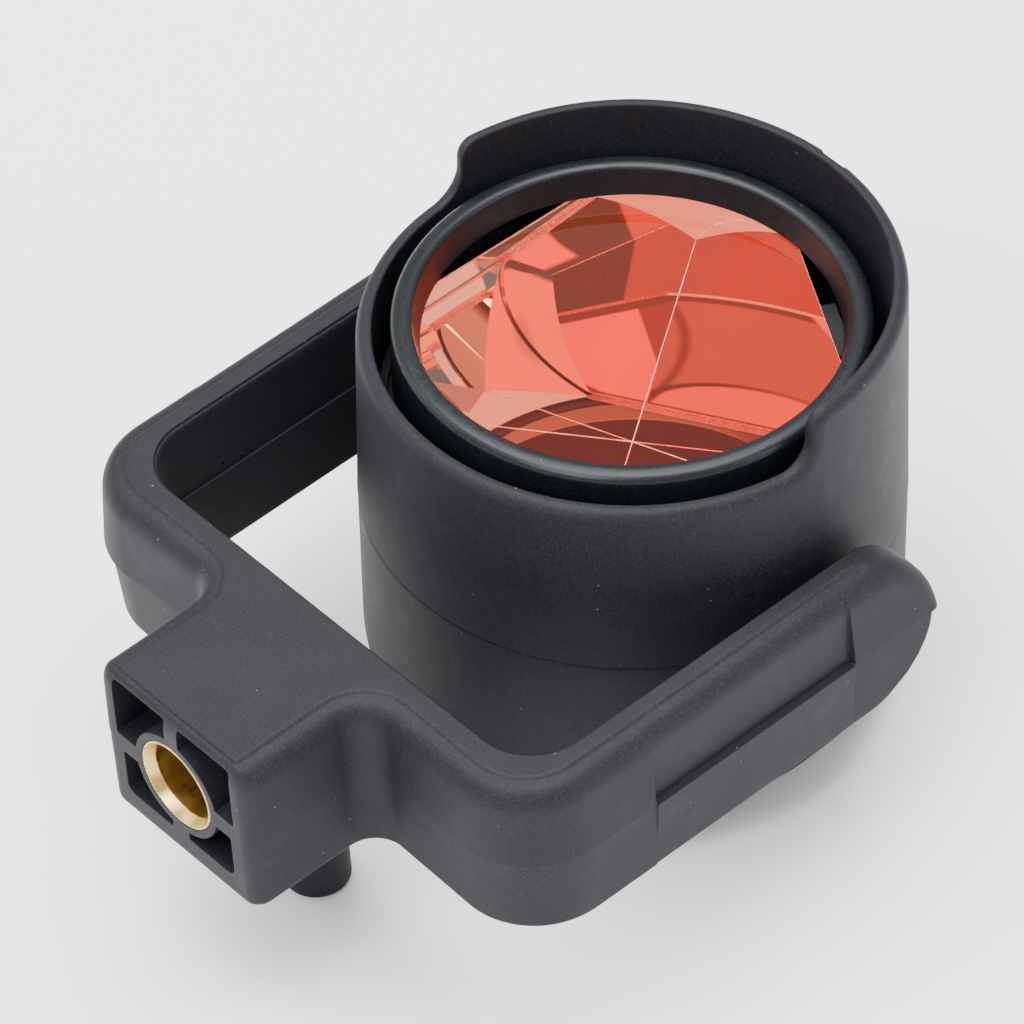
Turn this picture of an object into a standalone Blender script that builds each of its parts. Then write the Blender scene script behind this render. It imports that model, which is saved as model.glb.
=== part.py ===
"""Tilting survey prism: a round glass corner-cube prism in a hooded housing, hung on two pivots in a
plastic yoke whose stem takes a 12 mm pole spigot with a push-button latch.

Dimensions are in millimetres about the tilt axis, and are scaled to metres when a mesh is made. The object
lies on its back: +Z is the way the prism looks, X is the tilt axis, and the stem points along -Y. The yoke is
level, and the housing leans back a little on the tilt axis, so that both its back edge and the button touch
the ground.
"""

import math

import bmesh
import bpy
from mathutils import Matrix, Vector

MM = 0.001

# ---- overall layout ----
AXIS_Y = 22.5  # the tilt axis, from the middle of the object's length
AXIS_Z = 36.55  # height of the tilt axis over the ground
HOUSING_LEAN = -3.19  # of the housing about the tilt axis, in degrees
STEM_END_Y = -86.0  # end face of the stem: the pole comes up to here
HALF_DEPTH = 13.75  # yoke, front to back, from the tilt axis

# ---- yoke ----
BLOCK_HALF_W = 16.1
BLOCK_CORNER_R = 2.7
BLOCK_FILLET_R = 4.9
BAR_OUTER_Y = -63.9  # crossbar, outer face beside the block
BAR_OUTER_CORNER_Y = -64.1  # the same face where the corner begins
BAR_INNER_Y = -56.6
ARM_OUTER_X = 48.7
ARM_INNER_X = 42.1
CORNER_OUTER_R = 12.4
CORNER_INNER_R = 8.3
PAD_FROM_Y = -40.4  # where the shut-off of the two mould halves changes side
PAD_TO_Y = -3.0
PAD_PROUD = 1.15
CORNER_PROUD = 0.9
CORNER_LOWER = {"right": (0.85, 0.2), "left": (0.2, -0.9)}  # proud at the parting line and at the edge
LEDGE = 0.3  # inner faces stand this much further in below the parting line
LEDGE_END_Y = -16.0
TOP_EDGE = ((10.3, 0.0), (11.8, 0.45), (12.85, 1.35), (13.2, 2.3), (13.32, 3.0), (13.75, 3.35))
BOTTOM_EDGE = ((-12.7, 0.0), (-13.43, 0.3), (-13.75, 1.05))
MID_LEVELS = (-10.6, -7.4, -3.7, -0.04, 0.04, 3.7, 7.4)

# ---- pole socket ----
BOSS_R = 8.6
RIB_W = 2.8
POCKET_DEPTH = 14.0
POCKET_X = 12.6
POCKET_TOP = 12.3
POCKET_LOW_X = 11.6
POCKET_LOW = -9.8
BUSH_R = 7.25
BUSH_LENGTH = 18.0
SPIGOT_BORE_R = 6.05
SPIGOT_END_Y = -58.6

# ---- latch ----
BUTTON_Y = -63.4
BUTTON_R = 5.0
BUTTON_TIP = -36.45
BUTTON_TOP = -11.2
BUTTON_TRAVEL = 1.6
GUIDE_R = 6.6
GUIDE_LOW = -22.0
PLATE_T = 2.4
PLATE_HALF_W = 7.5
PLATE_TOP = 7.6
PLATE_LOW = -10.2
PIN_Z = -14.0
WINDOW_R = 6.3
WINDOW_DROP = 1.2

# ---- pivots ----
PIVOT_R = 3.0
PIVOT_HOLE_R = 3.2
PIVOT_BOSS_R = 8.0
PIVOT_BOSS_X = 40.6

# ---- housing ----
SEAM_R = 39.6
DRAFT = 0.0155
RIM_LOW = 29.3
RIM_HIGH = 38.5
RIM_INNER_R = 36.8
HOOD_END_Y = -0.3
HOOD_TOP_R = 2.9
HOOD_FOOT_R = 4.6
HOOD_TURN = -1.36  # the hood's ends aren't quite square to the tilt axis, in degrees
GATE_NOTCH_X = (-2.2, 3.4)
BACK_Z = -34.7
BACK_EDGE = (  # the chamfered back edge, as (radius, height)
    (33.9, -34.7),
    (34.3, -34.45),
    (35.6, -32.6),
    (36.9, -30.7),
    (38.1, -28.9),
    (38.9, -27.7),
    (39.3, -26.6),
)
COVER_R = 31.6
COVER_T = 3.0

# ---- prism and its can ----
GLASS_R = 31.6
GLASS_FRONT = 26.95
GLASS_DEPTH = 39.7
GLASS_FLAT = 27.5  # from the axis to the three flats where the facets would run out in a sharp edge
EDGE_AZIMUTH = 0.8  # of the first of the three cube edges, in degrees
CAN_INNER_R = 31.8
CAN_OUTER_R = 32.5
RING_OUTER_R = 34.2


def clear_scene():
    for obj in list(bpy.data.objects):
        bpy.data.objects.remove(obj)


def material(name, colour, roughness, metallic=0.0):
    mat = bpy.data.materials.new(name)
    mat.use_nodes = True
    shader = mat.node_tree.nodes["Principled BSDF"]
    shader.inputs["Base Color"].default_value = (*colour, 1.0)
    shader.inputs["Roughness"].default_value = roughness
    shader.inputs["Metallic"].default_value = metallic
    return mat


YOKE_FRAME = Matrix.Translation((0.0, AXIS_Y * MM, AXIS_Z * MM))
HOUSING_FRAME = YOKE_FRAME @ Matrix.Rotation(math.radians(HOUSING_LEAN), 4, "X")


def add_object(name, bm, look, origin=(0.0, 0.0, 0.0), matrix=None, helper=False, frame=YOKE_FRAME):
    """Makes an object from a mesh in millimetres about the tilt axis, with its own origin at `origin`."""
    if matrix is not None:
        bm.transform(matrix)
    bm.normal_update()
    bmesh.ops.recalc_face_normals(bm, faces=bm.faces)
    start = Vector(origin)
    for vert in bm.verts:
        vert.co = (vert.co - start) * MM
    mesh = bpy.data.meshes.new(name)
    bm.to_mesh(mesh)
    bm.free()
    obj = bpy.data.objects.new(name, mesh)
    obj.matrix_world = frame @ Matrix.Translation(start * MM)
    bpy.context.scene.collection.objects.link(obj)
    if helper:
        obj.hide_render = True
        obj.display_type = "WIRE"
        return obj
    colour, roughness, metallic = look
    mesh.materials.append(material(name + "_look", colour, roughness, metallic))
    mesh.shade_smooth()
    mesh.set_sharp_from_angle(angle=math.radians(32))
    return obj


def boolean(obj, cutter, operation="DIFFERENCE"):
    mod = obj.modifiers.new(cutter.name, "BOOLEAN")
    mod.object = cutter
    mod.operation = operation
    mod.solver = "EXACT"


def arc(centre, radius, start, end, steps):
    """Points on an arc, both ends included, in degrees."""
    points = []
    for i in range(steps + 1):
        a = math.radians(start + (end - start) * i / steps)
        points.append((centre[0] + radius * math.cos(a), centre[1] + radius * math.sin(a)))
    return points


def revolve(profile, segments):
    """A closed (radius, height) profile turned about Z. Points at radius 0 become one vertex each."""
    bm = bmesh.new()
    rings = []
    for radius, height in profile:
        if radius < 1e-6:
            rings.append([bm.verts.new((0.0, 0.0, height))])
            continue
        ring = []
        for k in range(segments):
            a = 2.0 * math.pi * k / segments
            ring.append(bm.verts.new((radius * math.cos(a), radius * math.sin(a), height)))
        rings.append(ring)
    bridge_rings(bm, rings, closed=True)
    return bm


def bridge_rings(bm, rings, closed):
    """Faces between each ring and the next. A ring of one vertex is a point on the axis."""
    count = len(rings)
    for i in range(count if closed else count - 1):
        lower, upper = rings[i], rings[(i + 1) % count]
        if len(lower) == 1 and len(upper) == 1:
            continue
        segments = max(len(lower), len(upper))
        for k in range(segments):
            n = (k + 1) % segments
            if len(lower) == 1:
                bm.faces.new((lower[0], upper[n], upper[k]))
            elif len(upper) == 1:
                bm.faces.new((lower[k], lower[n], upper[0]))
            else:
                bm.faces.new((lower[k], lower[n], upper[n], upper[k]))


def prismatic(outline, low, high):
    """A closed (x, y) outline stood up from low to high along Z."""
    bm = bmesh.new()
    rings = []
    for z in (low, high):
        rings.append([bm.verts.new((x, y, z)) for x, y in outline])
    bridge_rings(bm, rings, closed=False)
    bm.faces.new(list(reversed(rings[0])))
    bm.faces.new(rings[1])
    return bm


ALONG_X = Matrix.Rotation(math.radians(90), 4, "Y")  # sends Z to +X
ALONG_MINUS_X = Matrix.Rotation(math.radians(-90), 4, "Y")
ALONG_Y = Matrix.Rotation(math.radians(-90), 4, "X")  # sends Z to +Y
SWAP_YZ = Matrix(((1, 0, 0, 0), (0, 0, 1, 0), (0, 1, 0, 0), (0, 0, 0, 1)))


# ------------------------------------------------------------------ yoke


def edge_inset(z):
    """How far the outer sides stand in at height z, for the rounded front and back edges."""
    table = list(reversed(BOTTOM_EDGE)) + list(TOP_EDGE)
    if z <= table[0][0]:
        return table[0][1]
    for (z0, e0), (z1, e1) in zip(table, table[1:]):
        if z <= z1:
            return e0 + (e1 - e0) * (z - z0) / (z1 - z0)
    return table[-1][1]


def proud(z, region, side):
    """How far an outer side stands proud of its plane, by the shut-off of the two mould halves."""
    share = max(0.0, 1.0 - abs(z) / HALF_DEPTH)
    if region == "corner" and z > 0:
        return CORNER_PROUD * share
    if region == "corner":
        at_parting, at_edge = CORNER_LOWER[side]
        return at_edge + (at_parting - at_edge) * share
    return PAD_PROUD * share if (z > 0) == (region == "end") else 0.0


def arm_end(z, x_outer, x_inner):
    """The full-round end of an arm at height z, its two edges rounded, from the outer side round."""
    points = []
    share = min(1.0, max(0.0, (z + 3.0) / 12.0))
    radius = 1.0 + 2.0 * share
    inset = edge_inset(z)
    for side, steps, r in (("outer", 4, radius), ("inner", 2, 0.8)):
        some = []
        for i in range(steps + 1):
            a = 0.5 * math.pi * i / steps
            reach = HALF_DEPTH - r * (1.0 - math.sin(a))
            step_in = r * (1.0 - math.cos(a))
            if reach > abs(z) + 1e-6:
                y = math.sqrt(reach * reach - z * z)
            else:
                y = -0.6 + 0.1 * i
                step_in = 0.0 if side == "inner" else min(inset, step_in)
            some.append((step_in, max(y, -0.6 + 0.1 * i)))
        if side == "outer":
            floor = 0.0
            for step_in, y in some:
                floor = max(floor, inset, step_in)
                points.append((x_outer - floor, y))
        else:
            for step_in, y in reversed(some):
                points.append((x_inner + max(step_in, 0.25 * inset), y))
    return points


def half_outline(z, side):
    """One half of the yoke's outline at height z, from the stem's end round to the crossbar."""
    inset = edge_inset(z)
    end_inset = 0.45 * inset
    bulge = proud(z, "corner", side)
    grow = 0.25 * bulge
    half_w = BLOCK_HALF_W + grow - inset
    corner = max(BLOCK_CORNER_R - inset, 0.6)
    points = [(0.0, STEM_END_Y + end_inset)]
    points += arc((half_w - corner, STEM_END_Y + end_inset + corner), corner, -90, 0, 4)
    centre = (BLOCK_HALF_W + BLOCK_FILLET_R, BAR_OUTER_Y - BLOCK_FILLET_R)
    points += arc(centre, BLOCK_FILLET_R + inset - grow, 180, 92, 5)
    centre = (ARM_OUTER_X - CORNER_OUTER_R, BAR_OUTER_CORNER_Y + CORNER_OUTER_R)
    points += arc(centre, CORNER_OUTER_R - inset + bulge, -90, 0, 9)
    changes = ((PAD_FROM_Y - 0.1, "corner"), (PAD_FROM_Y, "pad"), (PAD_TO_Y, "pad"), (PAD_TO_Y + 0.1, "end"))
    for y, region in changes:
        points.append((ARM_OUTER_X - inset + proud(z, region, side), y))
    points += arm_end(z, ARM_OUTER_X + proud(z, "end", side), ARM_INNER_X)
    inner_inset = 0.25 * inset
    ledge = LEDGE if z < 0 else 0.0
    points.append((ARM_INNER_X + inner_inset, LEDGE_END_Y + 0.6))
    points.append((ARM_INNER_X + inner_inset - ledge, LEDGE_END_Y))
    centre = (ARM_INNER_X - CORNER_INNER_R, BAR_INNER_Y + CORNER_INNER_R)
    points += arc(centre, CORNER_INNER_R + inner_inset - ledge, 0, -90, 6)
    points.append((0.0, BAR_INNER_Y - inner_inset + ledge))
    return points


def yoke_body():
    levels = sorted([z for z, _ in TOP_EDGE] + [z for z, _ in BOTTOM_EDGE] + list(MID_LEVELS))
    bm = bmesh.new()
    rings = []
    for z in levels:
        left = half_outline(z, "left")[1:-1]
        whole = half_outline(z, "right") + [(-x, y) for x, y in reversed(left)]
        rings.append([bm.verts.new((x, y, z)) for x, y in whole])
    bridge_rings(bm, rings, closed=False)
    bm.faces.new(list(reversed(rings[0])))
    bm.faces.new(rings[-1])
    return bm


def pocket_outlines():
    """The four pockets round the socket boss, as (x, z) outlines seen along the stem."""
    half = 0.5 * RIB_W
    gap = 0.35
    outlines = []
    for sx in (-1, 1):
        for top in (True, False):
            wide = POCKET_X if top else POCKET_LOW_X
            far = POCKET_TOP if top else -POCKET_LOW
            start = math.degrees(math.asin((half if top else half + gap) / BOSS_R))
            ring = arc((0.0, 0.0), BOSS_R, 90 - start, start, 7)
            shape = [(wide, ring[-1][1]), (wide, far), (ring[0][0], far)] + ring
            sz = 1 if top else -1
            outlines.append([(sx * x, sz * z) for x, z in shape])
    return outlines


def make_yoke(look):
    yoke = add_object("yoke", yoke_body(), look)
    for i, outline in enumerate(pocket_outlines()):
        bm = prismatic(outline, 0.0, POCKET_DEPTH + 2.0)
        turn = Matrix.Translation((0, STEM_END_Y - 2.0, 0)) @ SWAP_YZ
        boolean(yoke, add_object(f"cut_pocket_{i}", bm, None, matrix=turn, helper=True))
    seat = BUSH_R + 0.12
    shoulder = STEM_END_Y + BUSH_LENGTH + 0.15
    bore = SPIGOT_BORE_R + 0.15
    profile = [(0, STEM_END_Y - 3), (seat, STEM_END_Y - 3), (seat, shoulder), (bore, shoulder)]
    profile += [(bore, SPIGOT_END_Y), (0, SPIGOT_END_Y)]
    boolean(yoke, add_object("cut_bore", revolve(profile, 40), None, matrix=ALONG_Y, helper=True))
    w = PLATE_HALF_W + 0.3
    t = 0.5 * PLATE_T + 0.3
    slot = [(-w, BUTTON_Y - t), (w, BUTTON_Y - t), (w, BUTTON_Y + t), (-w, BUTTON_Y + t)]
    boolean(yoke, add_object("cut_latch", prismatic(slot, -20.0, PLATE_TOP + 1.9), None, helper=True))
    room = BUTTON_R + 0.3
    roof = BUTTON_TOP + BUTTON_TRAVEL + 0.4
    profile = [(0, -20), (GUIDE_R + 0.1, -20), (GUIDE_R + 0.1, -10.6), (room, -10.6), (room, roof)]
    profile += [(2.3, roof), (2.3, 11.3), (0, 11.3)]
    at = Matrix.Translation((0, BUTTON_Y, 0))
    boolean(yoke, add_object("cut_guide", revolve(profile, 32), None, matrix=at, helper=True))
    for side, turn in (("left", ALONG_MINUS_X), ("right", ALONG_X)):
        profile = [(0, 39.0), (3.5, 39.0), (3.5, 47.5), (0, 47.5)]
        boolean(yoke, add_object(f"cut_insert_{side}", revolve(profile, 28), None, matrix=turn, helper=True))
    return yoke


# ------------------------------------------------------------------ pole socket and latch


def make_socket_bush(look):
    mouth = STEM_END_Y
    back = STEM_END_Y + BUSH_LENGTH
    profile = [(7.0, mouth), (BUSH_R - 0.05, mouth), (BUSH_R, mouth + 0.15), (BUSH_R, back)]
    profile += [(SPIGOT_BORE_R, back), (SPIGOT_BORE_R, mouth + 1.4)]
    add_object("socket_bush", revolve(profile, 48), look, matrix=ALONG_Y)


def make_button(look):
    profile = [(0, BUTTON_TIP)] + arc((BUTTON_R - 1.0, BUTTON_TIP + 1.0), 1.0, -90, 0, 4)
    profile += [(BUTTON_R, BUTTON_TOP - 0.4), (BUTTON_R - 0.4, BUTTON_TOP), (0, BUTTON_TOP)]
    origin = (0, BUTTON_Y, BUTTON_TIP)
    at = Matrix.Translation((0, BUTTON_Y, 0))
    button = add_object("release_button", revolve(profile, 32), look, origin, matrix=at)
    t = 0.5 * PLATE_T + 0.1
    slot = [(-7, BUTTON_Y - t), (7, BUTTON_Y - t), (7, BUTTON_Y + t), (-7, BUTTON_Y + t)]
    boolean(button, add_object("cut_tongue", prismatic(slot, -17.0, -8.0), None, helper=True))
    profile = [(0, -8), (1.1, -8), (1.1, 8), (0, 8)]
    at = Matrix.Translation((0, BUTTON_Y, PIN_Z)) @ ALONG_Y
    boolean(button, add_object("cut_button_pin", revolve(profile, 20), None, matrix=at, helper=True))


def make_latch_plate(look):
    outline = [(-PLATE_HALF_W, PLATE_LOW), (-2.6, PLATE_LOW), (-2.6, -16.6), (2.6, -16.6), (2.6, PLATE_LOW)]
    outline += [(PLATE_HALF_W, PLATE_LOW), (PLATE_HALF_W, PLATE_TOP - 2), (PLATE_HALF_W - 2, PLATE_TOP)]
    outline += [(-PLATE_HALF_W + 2, PLATE_TOP), (-PLATE_HALF_W, PLATE_TOP - 2)]
    swap = Matrix.Translation((0, BUTTON_Y, 0)) @ SWAP_YZ
    bm = prismatic(outline, -0.5 * PLATE_T, 0.5 * PLATE_T)
    origin = (0, BUTTON_Y, BUTTON_TIP)
    plate = add_object("latch_plate", bm, look, origin, matrix=swap)
    for name, radius, z in (("cut_window", WINDOW_R, -WINDOW_DROP), ("cut_plate_pin", 1.1, PIN_Z)):
        profile = [(0, -6), (radius, -6), (radius, 6), (0, 6)]
        at = Matrix.Translation((0, BUTTON_Y, z)) @ ALONG_Y
        boolean(plate, add_object(name, revolve(profile, 36), None, matrix=at, helper=True))


def make_latch_pin(look):
    profile = [(0, -4.3), (0.8, -4.3), (1.0, -4.1), (1.0, 4.1), (0.8, 4.3), (0, 4.3)]
    at = Matrix.Translation((0, BUTTON_Y, PIN_Z)) @ ALONG_Y
    add_object("latch_pin", revolve(profile, 16), look, (0, BUTTON_Y, BUTTON_TIP), matrix=at)


def make_latch_spring(look):
    """A small coil spring between the latch plate and the roof of its slot, its ends closed flat."""
    wire, coil, turns, low, high = 0.26, 1.7, 4.0, PLATE_TOP + 0.32, 10.98
    steps, sides = 48, 6
    bm = bmesh.new()
    rings = []
    for i in range(steps + 1):
        u = i / steps
        a = 2.0 * math.pi * turns * u
        rise = low + (high - low) * u
        centre = Vector((coil * math.cos(a), BUTTON_Y + coil * math.sin(a), rise))
        out = Vector((math.cos(a), math.sin(a), 0.0))
        ring = []
        for k in range(sides):
            b = 2.0 * math.pi * k / sides
            ring.append(bm.verts.new(centre + out * (wire * math.cos(b)) + Vector((0, 0, wire * math.sin(b)))))
        rings.append(ring)
    bridge_rings(bm, rings, closed=False)
    bm.faces.new(list(reversed(rings[0])))
    bm.faces.new(rings[-1])
    add_object("latch_spring", bm, look, (0, BUTTON_Y, high))


def make_button_guide(look):
    inner = BUTTON_R + 0.2
    profile = [(inner, GUIDE_LOW + 0.5), (inner + 0.4, GUIDE_LOW), (GUIDE_R - 0.6, GUIDE_LOW)]
    profile += [(GUIDE_R, GUIDE_LOW + 0.6), (GUIDE_R, -13.2), (GUIDE_R, -10.75), (inner, -10.75)]
    at = Matrix.Translation((0, BUTTON_Y, 0))
    add_object("button_guide", revolve(profile, 36), look, matrix=at)


# ------------------------------------------------------------------ pivots


def make_pivots(steel, brass, fibre):
    for side, turn in (("left", ALONG_MINUS_X), ("right", ALONG_X)):
        head, hex_r = 4.6, 2.0
        profile = [(0, 35.6), (hex_r, 35.6), (hex_r, 34.5), (head - 0.3, 34.5), (head, 34.8), (head, 36.0)]
        profile += [(PIVOT_R, 36.0), (PIVOT_R, 42.2), (1.85, 42.2), (1.85, 46.4), (1.5, 46.8), (0, 46.8)]
        add_object(f"pivot_screw_{side}", revolve(profile, 24), steel, matrix=turn)
        profile = [(2.0, 42.4), (3.4, 42.4), (3.4, 47.2), (2.0, 47.2)]
        add_object(f"pivot_insert_{side}", revolve(profile, 24), brass, matrix=turn)
        profile = [(3.2, 40.7), (7.0, 40.7), (7.0, 41.95), (3.2, 41.95)]
        add_object(f"friction_washer_{side}", revolve(profile, 32), fibre, matrix=turn)
        profile = [(3.2, 36.08), (4.9, 36.3), (4.9, 36.68), (3.2, 36.46)]
        add_object(f"spring_washer_{side}", revolve(profile, 24), steel, matrix=turn)


# ------------------------------------------------------------------ housing


def wall_radius(z):
    """Outer radius of the housing at height z: widest at the seam, with more draft towards the front."""
    return SEAM_R - DRAFT * z if z >= 0 else SEAM_R + 0.007 * z


def rim_path():
    """The rim, once round from the stem side, as (angle or None, y, z, normal y, normal z)."""
    foot = []
    centre = (HOOD_END_Y - HOOD_FOOT_R, RIM_LOW + HOOD_FOOT_R)
    for i in range(6):
        a = math.radians(-90 + 90 * i / 5)
        point = (centre[0] + HOOD_FOOT_R * math.cos(a), centre[1] + HOOD_FOOT_R * math.sin(a))
        foot.append((*point, -math.cos(a), -math.sin(a)))
    centre = (HOOD_END_Y + HOOD_TOP_R, RIM_HIGH - HOOD_TOP_R)
    for i in range(6):
        a = math.radians(180 - 90 * i / 5)
        point = (centre[0] + HOOD_TOP_R * math.cos(a), centre[1] + HOOD_TOP_R * math.sin(a))
        foot.append((*point, math.cos(a), math.sin(a)))
    low_y, high_y = foot[0][0], foot[-1][0]
    rising = []
    for i, (y, z, ny, nz) in enumerate(foot):
        rising.append((low_y + (high_y - low_y) * i / (len(foot) - 1), y, z, ny, nz))
    columns = []
    start = math.degrees(math.asin(low_y / SEAM_R))
    for i in range(12):
        columns.append((-90 + (start + 90) * i / 12, None, RIM_LOW, 0.0, 1.0))
    columns += [("right", *item) for item in rising]
    top = math.degrees(math.asin(high_y / SEAM_R))
    for i in range(1, 24):
        columns.append((top + (180 - 2 * top) * i / 24, None, RIM_HIGH, 0.0, 1.0))
    columns += [("left", *item) for item in reversed(rising)]
    for i in range(1, 12):
        columns.append((180 - start + (90 + start) * i / 12, None, RIM_LOW, 0.0, 1.0))
    return columns


def angle_at(side, y, radius):
    a = math.asin(max(-1.0, min(1.0, y / radius)))
    return a if side == "right" else math.pi - a


def housing_body():
    """A tube whose front rim rises over the far half as a hood. Each column is one closed wall section."""
    outer_edge = [(0.0, 1.6), (0.2, 0.8), (0.75, 0.2), (1.35, 0.0)]
    below = [(COVER_R + 0.2, BACK_Z)] + list(BACK_EDGE)
    below += [(wall_radius(z), z) for z in (-24.5, -0.15)]
    below += [(wall_radius(0.15) + 0.05, 0.15), (wall_radius(24), 24.0)]
    inside = [(36.7, 24.0), (36.6, 12.0), (34.2, 12.0), (34.2, 9.2), (36.6, 6.8), (36.6, -25.0)]
    inside += [(30.4, -28.6), (30.4, BACK_Z + 3.4), (COVER_R + 0.2, BACK_Z + 3.4)]
    bm = bmesh.new()
    columns = []
    for item in rim_path():
        verts = []
        if item[1] is None:
            a, y, z, ny, nz = math.radians(item[0]), None, item[2], 0.0, 1.0
        else:
            side, level_y, y, z, ny, nz = item
            a = angle_at(side, level_y, SEAM_R)
        for radius, height in below:
            verts.append((radius * math.cos(a), radius * math.sin(a), height))
        strip = [(wall_radius(z) - step_in, drop) for step_in, drop in outer_edge]
        strip += [(RIM_INNER_R + 0.3, 0.0), (RIM_INNER_R, 0.35)]
        for radius, drop in strip:
            height = z - drop * nz
            b = a if y is None else angle_at(side, y - drop * ny, radius)
            verts.append((radius * math.cos(b), radius * math.sin(b), height))
        for radius, height in inside:
            verts.append((radius * math.cos(a), radius * math.sin(a), height))
        columns.append([bm.verts.new(v) for v in verts])
    rows = len(columns[0])
    for k in range(len(columns)):
        here, there = columns[k], columns[(k + 1) % len(columns)]
        for i in range(rows):
            j = (i + 1) % rows
            bm.faces.new((here[i], there[i], there[j], here[j]))
    return bm


def make_housing(look):
    body = housing_body()
    body.transform(Matrix.Rotation(math.radians(HOOD_TURN), 4, "Z"))
    housing = add_object("housing", body, look, frame=HOUSING_FRAME)
    x0, x1 = GATE_NOTCH_X
    far = wall_radius(RIM_HIGH) - 0.55
    notch = [(x0, far), (x1, far), (x1 - 0.6, far + 4), (x0 + 0.6, far + 4)]
    cutter = prismatic(notch, RIM_HIGH - 1.5, RIM_HIGH + 3)
    boolean(housing, add_object("cut_gate", cutter, None, helper=True, frame=HOUSING_FRAME))
    for side, turn in (("left", ALONG_MINUS_X), ("right", ALONG_X)):
        boss = [(0, 37.4), (PIVOT_BOSS_R, 37.4), (PIVOT_BOSS_R, PIVOT_BOSS_X - 0.3)]
        boss += [(PIVOT_BOSS_R - 0.3, PIVOT_BOSS_X), (0, PIVOT_BOSS_X)]
        cutter = revolve(boss, 32)
        cutter = add_object(f"join_boss_{side}", cutter, None, matrix=turn, helper=True, frame=HOUSING_FRAME)
        boolean(housing, cutter, "UNION")
        hole = [(0, 33.5), (5.2, 33.5), (5.2, 36.8), (PIVOT_HOLE_R, 36.8), (PIVOT_HOLE_R, 43), (0, 43)]
        cutter = revolve(hole, 24)
        cutter = add_object(f"cut_pivot_{side}", cutter, None, matrix=turn, helper=True, frame=HOUSING_FRAME)
        boolean(housing, cutter)


def make_back_cover(look):
    low = BACK_Z
    profile = [(0, low), (COVER_R - 0.4, low), (COVER_R, low + 0.4), (COVER_R, low + COVER_T)]
    profile += [(0, low + COVER_T)]
    cover = add_object("back_cover", revolve(profile, 56), look, frame=HOUSING_FRAME)
    for i, x in enumerate((-24.0, 24.0)):
        hole = [(0, low - 2), (2.0, low - 2), (2.0, low + 2.0), (0, low + 2.0)]
        at = Matrix.Translation((x, 0, 0))
        cutter = revolve(hole, 20)
        cutter = add_object(f"cut_spanner_{i}", cutter, None, matrix=at, helper=True, frame=HOUSING_FRAME)
        boolean(cover, cutter)


# ------------------------------------------------------------------ prism


def facet_azimuth(i):
    return math.radians(EDGE_AZIMUTH + 60 + 120 * i)


def make_prism(look):
    """A round glass blank cut by three facets square to each other, and by a small flat over each facet."""
    front = GLASS_FRONT
    apex = Vector((0, 0, front - GLASS_DEPTH))
    bm = revolve([(0, -30), (GLASS_R, -30), (GLASS_R, front - 0.4), (GLASS_R - 0.4, front), (0, front)], 60)
    planes = []
    for i in range(3):
        across = Vector((math.cos(facet_azimuth(i)), math.sin(facet_azimuth(i)), 0.0))
        planes.append((across * math.sqrt(2 / 3) - Vector((0, 0, math.sqrt(1 / 3))), apex))
        planes.append((across, across * GLASS_FLAT))
    for normal, point in planes:
        whole = list(bm.verts) + list(bm.edges) + list(bm.faces)
        cut = bmesh.ops.bisect_plane(bm, geom=whole, plane_co=point, plane_no=normal, clear_outer=True)
        edges = [e for e in cut["geom_cut"] if isinstance(e, bmesh.types.BMEdge)]
        bmesh.ops.contextual_create(bm, geom=edges)
    bmesh.ops.remove_doubles(bm, verts=bm.verts, dist=0.0005)
    prism = add_object("prism", bm, look, frame=HOUSING_FRAME)
    prism.data.set_sharp_from_angle(angle=math.radians(20))


def make_prism_pads(look):
    """A soft wedge behind each facet, between it and the wall of the can."""
    low, high, half_width, wall = 12.0, 22.0, 5.5, 31.1
    apex = GLASS_FRONT - GLASS_DEPTH
    facet = [((z - apex) / math.sqrt(2) + 0.2, z) for z in (high, low)]
    outline = [(wall, low), (wall, high)] + facet
    for i in range(3):
        bm = prismatic(outline, -half_width, half_width)
        turn = Matrix.Rotation(facet_azimuth(i), 4, "Z") @ Matrix.Rotation(math.radians(90), 4, "X")
        bm.transform(turn)
        add_object(f"prism_pad_{i + 1}", bm, look, frame=HOUSING_FRAME)


def make_can(look):
    inner, outer = CAN_INNER_R, CAN_OUTER_R
    profile = [(0, -21.4), (11.0, -21.4), (12.5, -20.2), (outer, 1.4), (outer, 12.1), (36.2, 12.1)]
    profile += [(36.2, 14.5), (outer, 14.5), (outer, 27.4), (inner, 27.4), (inner, 2.0)]
    profile += [(11.6, -19.0), (10.6, -20.0), (0, -20.0)]
    add_object("prism_can", revolve(profile, 48), look, frame=HOUSING_FRAME)


def make_snap_ring(look):
    """An open circlip over the can's flange."""
    outline = arc((0, 0), 36.4, -84, 264, 48) + arc((0, 0), 35.1, 264, -84, 48)
    add_object("snap_ring", prismatic(outline, 14.65, 15.7), look, frame=HOUSING_FRAME)


def make_front_ring(look):
    skirt = CAN_OUTER_R + 0.2
    profile = [(30.0, 27.2), (30.1, 27.5), (31.05, 31.2), (31.35, 31.5), (32.0, 31.7), (32.9, 31.6)]
    profile += arc((RING_OUTER_R - 1.3, 30.25), 1.3, 65, 0, 4)
    profile += [(RING_OUTER_R, 20.6), (RING_OUTER_R - 0.3, 20.2), (skirt, 20.2), (skirt, 27.75)]
    profile += [(30.3, 27.75), (30.2, 27.2)]
    add_object("front_ring", revolve(profile, 60), look, frame=HOUSING_FRAME)


def make_front_seal(look):
    profile = [(30.4, 27.05), (31.2, 27.05), (31.2, 27.6), (30.4, 27.6)]
    add_object("front_seal", revolve(profile, 56), look, frame=HOUSING_FRAME)


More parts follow.
